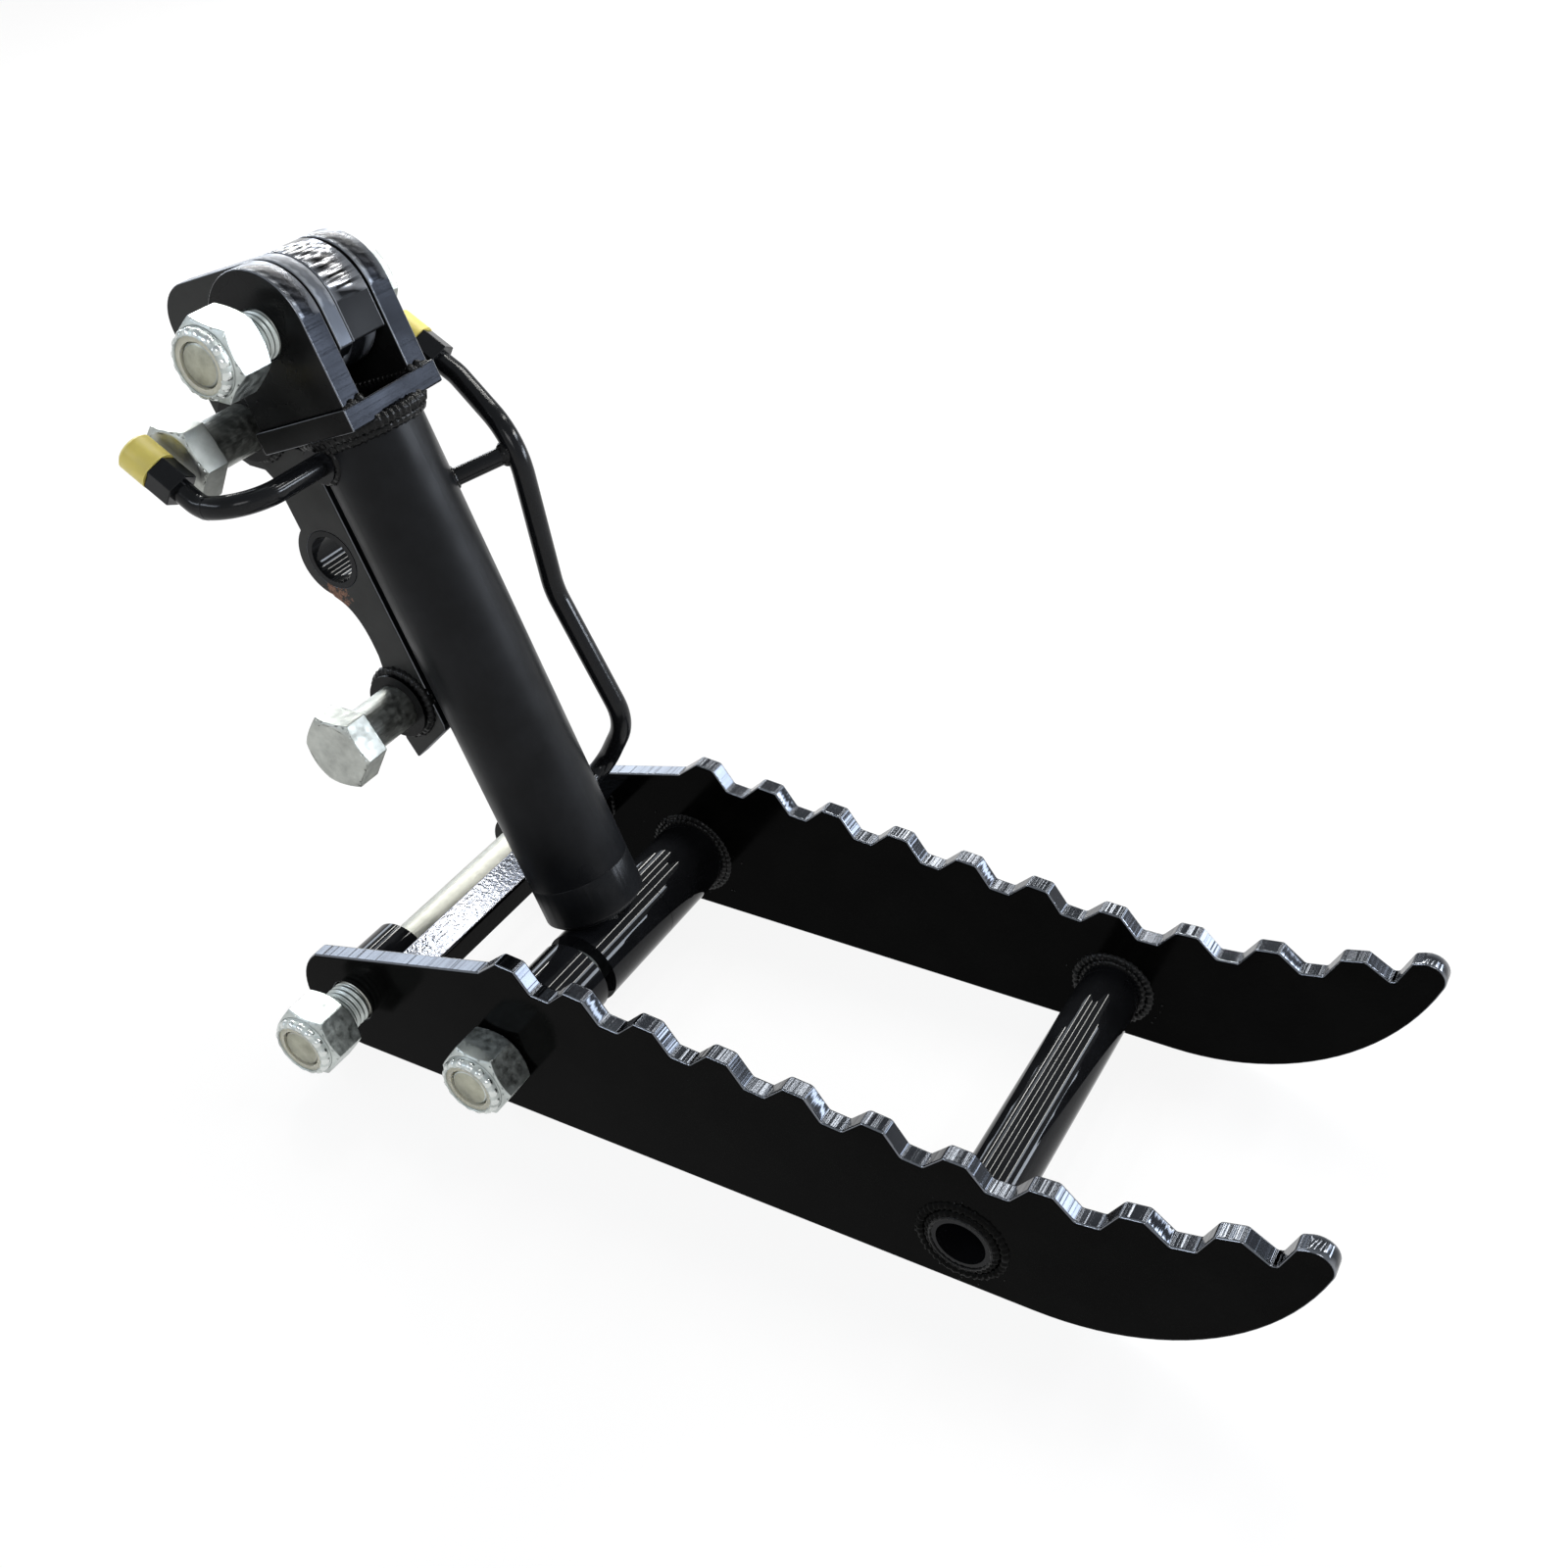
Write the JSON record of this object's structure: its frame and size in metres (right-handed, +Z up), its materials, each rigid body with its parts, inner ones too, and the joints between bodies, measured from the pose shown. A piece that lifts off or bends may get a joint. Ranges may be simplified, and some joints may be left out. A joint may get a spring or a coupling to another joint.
{
  "type": "hydraulic thumb",
  "caption": "Mini excavator hydraulic thumb: serrated twin tines on a hinge bolt, a closed cylinder between them and a swinging stick bracket.",
  "frame": {"origin": "centre of the hinge bolt's axis, midway between the tines", "axes": "+X from the hinge to the tips, +Y to the left tine (away from the nuts), +Z up"},
  "size_m": [0.6057, 0.2475, 0.3932],
  "materials": {
    "black_paint": "glossy black paint over flame-cut steel",
    "zinc_plate": "bright zinc plating",
    "chrome_rod": "polished hard chrome",
    "steel": "machined steel",
    "seal": "soft matt rubber",
    "nylon": "beige-grey nylon",
    "yellow_plastic": "soft yellow plastic plug cap"
  },
  "bodies": {
    "thumb": {"right_tine": "black_paint", "left_tine": "black_paint", "tip_cross_tube": "black_paint", "right_hinge_boss": "black_paint", "left_hinge_boss": "black_paint", "cross_bar": "black_paint", "right_rod_spacer": "black_paint", "left_rod_spacer": "black_paint", "hinge_bolt": "zinc_plate", "hinge_nut": "zinc_plate", "hinge_nut_insert": "nylon", "rod_pin_bolt": "zinc_plate", "rod_pin_nut": "zinc_plate", "rod_pin_nut_insert": "nylon"},
    "rod": {"piston_rod": "chrome_rod", "rod_eye": "black_paint", "piston": "steel", "piston_seal": "seal", "piston_nut": "steel"},
    "barrel": {"barrel_tube": "black_paint", "end_cap": "steel", "gland": "black_paint", "rod_seal": "seal", "wiper_seal": "seal", "clevis_plate": "black_paint", "right_clevis_ear": "black_paint", "left_clevis_ear": "black_paint", "base_port_boss": "black_paint", "base_port_tube": "black_paint", "base_port_fitting": "black_paint", "base_port_cap": "yellow_plastic", "rod_port_boss": "black_paint", "rod_port_tube": "black_paint", "rod_port_fitting": "black_paint", "rod_port_cap": "yellow_plastic", "tube_strut": "black_paint", "top_pin_bolt": "zinc_plate", "top_pin_nut": "zinc_plate", "top_pin_nut_insert": "nylon"},
    "bracket": {"bracket_plate": "black_paint", "bracket_ear": "black_paint", "mid_bore_tube": "black_paint", "upper_bolt_ring": "black_paint", "upper_weld_nut": "black_paint", "upper_bracket_bolt": "zinc_plate", "lower_bolt_ring": "black_paint", "lower_weld_nut": "black_paint", "lower_bracket_bolt": "zinc_plate"}
  },
  "joints": [
    {"name": "rod_pin_hinge", "type": "hinge", "parent": "thumb", "child": "rod", "pos_m": [0.097, 0, 0.0022], "axis": [0, 1, 0], "range_deg": [-4, 85]},
    {"name": "cylinder_stroke", "type": "slide", "parent": "rod", "child": "barrel", "axis": [-0.342, 0, 0.9397], "range_m": [0, 0.16]},
    {"name": "bracket_hinge", "type": "hinge", "parent": "barrel", "child": "bracket", "pos_m": [-0.02826, 0, 0.33173], "axis": [0, 1, 0], "range_deg": [0, 60]}
  ]
}
